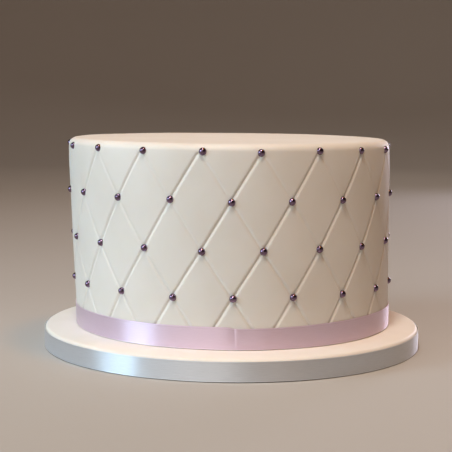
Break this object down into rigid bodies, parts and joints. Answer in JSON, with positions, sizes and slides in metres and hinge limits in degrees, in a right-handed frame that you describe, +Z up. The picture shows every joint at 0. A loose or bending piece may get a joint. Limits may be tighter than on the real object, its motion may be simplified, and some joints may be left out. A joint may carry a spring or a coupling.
{
  "type": "wedding cake",
  "caption": "Round one-tier wedding cake with diamond-quilted icing, sugar pearls at the crossings and a satin ribbon, on its iced and ribboned drum.",
  "frame": {"origin": "centre of the drum's underside, on the surface that the cake stands on", "axes": "+Z up; -Y towards the viewer, on the side where the ends of the lilac ribbon overlap; +X to the viewer's right"},
  "size_m": [0.313, 0.3134, 0.1716],
  "materials": {
    "ivory_icing": "smooth rolled sugar icing, softly satin",
    "purple_pearl": "glossy pearlised sugar shell",
    "lilac_satin": "satin ribbon with a bright sheen",
    "cream_icing": "smooth rolled sugar icing, matt",
    "white_satin": "satin ribbon, silvery white"
  },
  "bodies": {
    "root": {"cake": "ivory_icing", "cake_ribbon": "lilac_satin", "drum": "cream_icing", "drum_ribbon": "white_satin"}
  },
  "joints": []
}
